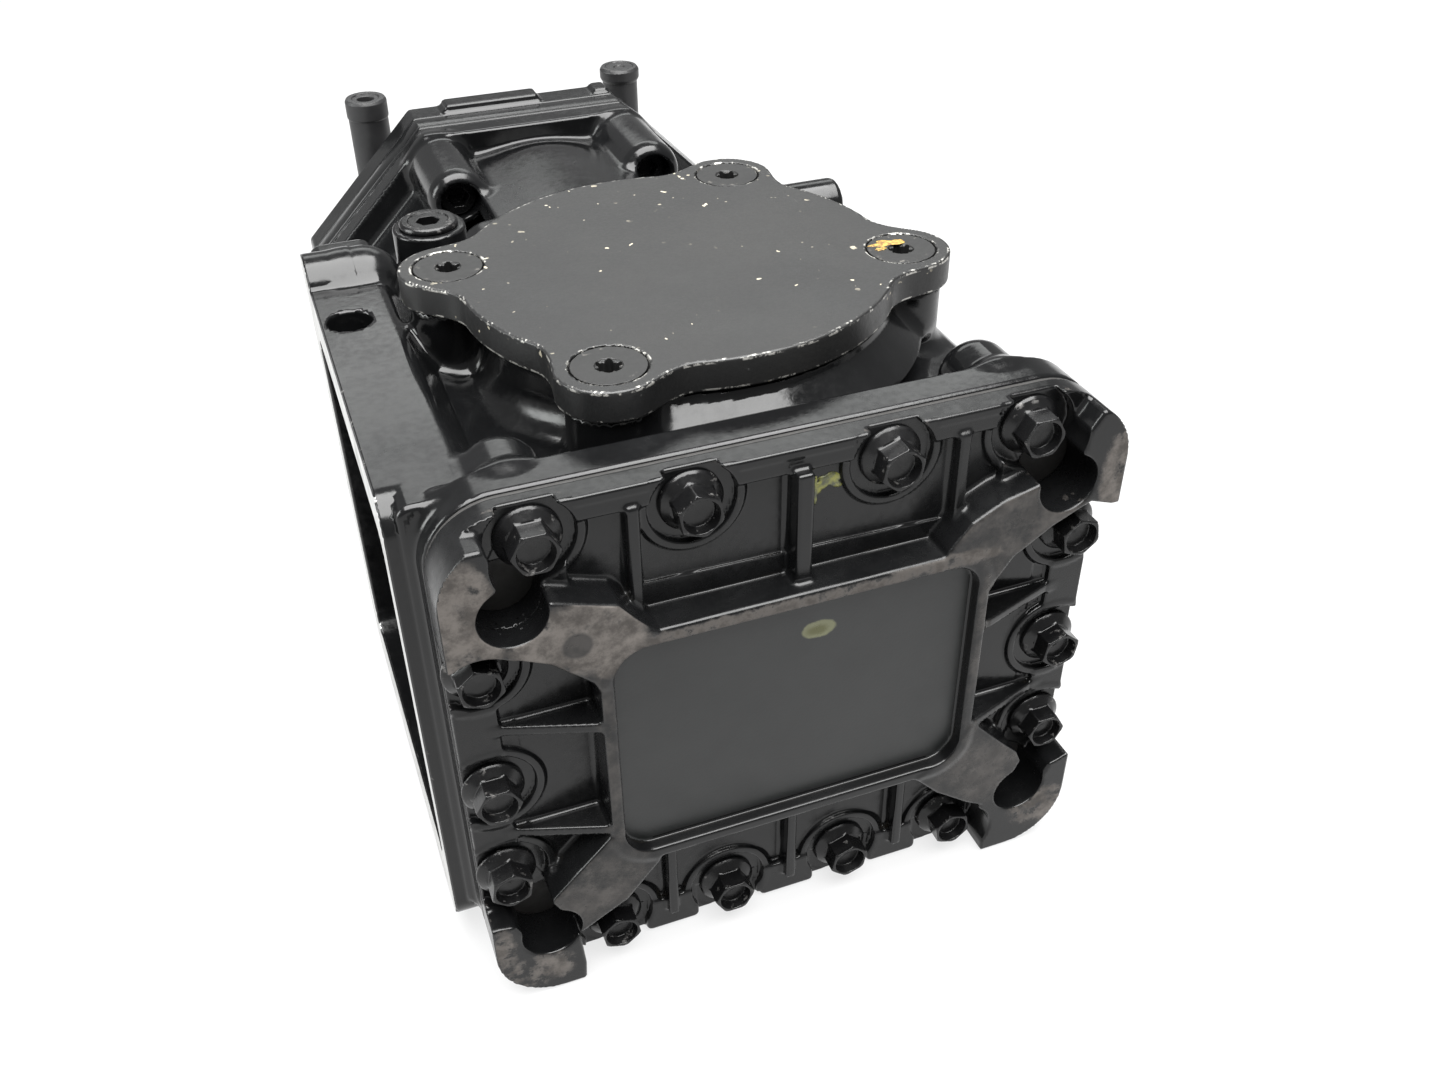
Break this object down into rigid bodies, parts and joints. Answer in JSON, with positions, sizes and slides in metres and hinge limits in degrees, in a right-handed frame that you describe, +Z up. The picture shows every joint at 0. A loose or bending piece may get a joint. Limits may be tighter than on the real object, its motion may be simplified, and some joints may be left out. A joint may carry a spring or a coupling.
{
  "type": "manual transmission",
  "caption": "Compact manual transmission: ribbed end cover, round top cover, open side window, flanged bell with a stacked mounting plate, constant-mesh gears and sliding shift rails.",
  "frame": {"origin": "under the middle of the object, on the level of its lowest edge", "axes": "+Z up, +Y from the end cover to the mounting plate along the shafts, +X to the side away from the open window"},
  "size_m": [0.1405, 0.2461, 0.1277],
  "materials": {
    "black_casting": "gloss black paint over die-cast aluminium, worn to bare metal on the pads",
    "black_lid": "satin dark grey black coating, worn thin at the edges",
    "black_fastener": "black coated steel",
    "bright_steel": "ground steel, oiled",
    "dark_steel": "hardened steel",
    "seal_rubber": "matt nitrile rubber",
    "gasket_paper": "pressed gasket sheet",
    "copper_washer": "soft copper"
  },
  "bodies": {
    "housing": {"gear_case": "black_casting", "end_cover": "black_casting", "end_cover_gasket": "gasket_paper", "end_cover_bolt_01": "black_fastener", "end_cover_bolt_02": "black_fastener", "end_cover_bolt_03": "black_fastener", "end_cover_bolt_04": "black_fastener", "end_cover_bolt_05": "black_fastener", "end_cover_bolt_06": "black_fastener", "end_cover_bolt_07": "black_fastener", "end_cover_bolt_08": "black_fastener", "end_cover_bolt_09": "black_fastener", "end_cover_bolt_10": "black_fastener", "end_cover_bolt_11": "black_fastener", "end_cover_bolt_12": "black_fastener", "end_cover_bolt_13": "black_fastener", "end_cover_bolt_14": "black_fastener", "top_cover": "black_lid", "top_cover_gasket": "gasket_paper", "top_cover_screw_1": "black_fastener", "top_cover_screw_2": "black_fastener", "top_cover_screw_3": "black_fastener", "top_cover_screw_4": "black_fastener", "filler_plug": "black_fastener", "drain_plug": "black_fastener", "drain_plug_washer": "copper_washer", "adapter_plate": "black_casting", "mounting_plate": "black_casting", "mount_sleeve_left": "black_fastener", "mount_sleeve_right": "black_fastener", "input_oil_seal": "seal_rubber", "bell_bolt_1": "black_fastener", "bell_bolt_2": "black_fastener", "bell_bolt_3": "black_fastener", "bell_bolt_4": "black_fastener", "input_bearing_front": "bright_steel", "input_bearing_rear": "bright_steel", "output_bearing_front": "bright_steel", "output_bearing_rear": "bright_steel"},
    "input_set": {"input_shaft": "bright_steel", "drive_gear_first": "bright_steel", "drive_gear_second": "bright_steel", "drive_gear_third": "bright_steel", "drive_gear_fourth": "bright_steel"},
    "output_set": {"output_shaft": "bright_steel", "output_pinion": "bright_steel"},
    "driven_first": {"driven_gear_first": "bright_steel"},
    "driven_second": {"driven_gear_second": "bright_steel"},
    "driven_third": {"driven_gear_third": "bright_steel"},
    "driven_fourth": {"driven_gear_fourth": "bright_steel"},
    "front_sleeve": {"shift_sleeve_front": "dark_steel"},
    "rear_sleeve": {"shift_sleeve_rear": "dark_steel"},
    "front_fork_set": {"shift_rail_front": "bright_steel", "shift_fork_front": "dark_steel"},
    "rear_fork_set": {"shift_rail_rear": "bright_steel", "shift_fork_rear": "dark_steel"}
  },
  "joints": [
    {"name": "input_spin", "type": "hinge", "parent": "housing", "child": "input_set", "pos_m": [0.0198, 0, 0.0735], "axis": [0, 1, 0], "continuous": true},
    {"name": "output_spin", "type": "hinge", "parent": "housing", "child": "output_set", "pos_m": [-0.0162, 0, 0.0482], "axis": [0, 1, 0], "continuous": true},
    {"name": "first_gear_spin", "type": "hinge", "parent": "housing", "child": "driven_first", "pos_m": [-0.0162, 0, 0.0482], "axis": [0, 1, 0], "continuous": true},
    {"name": "second_gear_spin", "type": "hinge", "parent": "housing", "child": "driven_second", "pos_m": [-0.0162, 0, 0.0482], "axis": [0, 1, 0], "continuous": true},
    {"name": "third_gear_spin", "type": "hinge", "parent": "housing", "child": "driven_third", "pos_m": [-0.0162, 0, 0.0482], "axis": [0, 1, 0], "continuous": true},
    {"name": "fourth_gear_spin", "type": "hinge", "parent": "housing", "child": "driven_fourth", "pos_m": [-0.0162, 0, 0.0482], "axis": [0, 1, 0], "continuous": true},
    {"name": "front_fork_slide", "type": "slide", "parent": "housing", "child": "front_fork_set", "axis": [0, 1, 0], "range_m": [-0.0029, 0.0029]},
    {"name": "front_sleeve_slide", "type": "slide", "parent": "output_set", "child": "front_sleeve", "axis": [0, 1, 0], "range_m": [-0.0029, 0.0029]},
    {"name": "rear_fork_slide", "type": "slide", "parent": "housing", "child": "rear_fork_set", "axis": [0, 1, 0], "range_m": [-0.0029, 0.0029]},
    {"name": "rear_sleeve_slide", "type": "slide", "parent": "output_set", "child": "rear_sleeve", "axis": [0, 1, 0], "range_m": [-0.0029, 0.0029]}
  ],
  "couplings": [
    {"joint": "first_gear_spin", "follows": "input_spin", "ratio": -0.51724},
    {"joint": "second_gear_spin", "follows": "input_spin", "ratio": -0.76},
    {"joint": "third_gear_spin", "follows": "input_spin", "ratio": -1},
    {"joint": "fourth_gear_spin", "follows": "input_spin", "ratio": -1.3158},
    {"joint": "front_sleeve_slide", "follows": "front_fork_slide", "ratio": 1},
    {"joint": "rear_sleeve_slide", "follows": "rear_fork_slide", "ratio": 1}
  ]
}
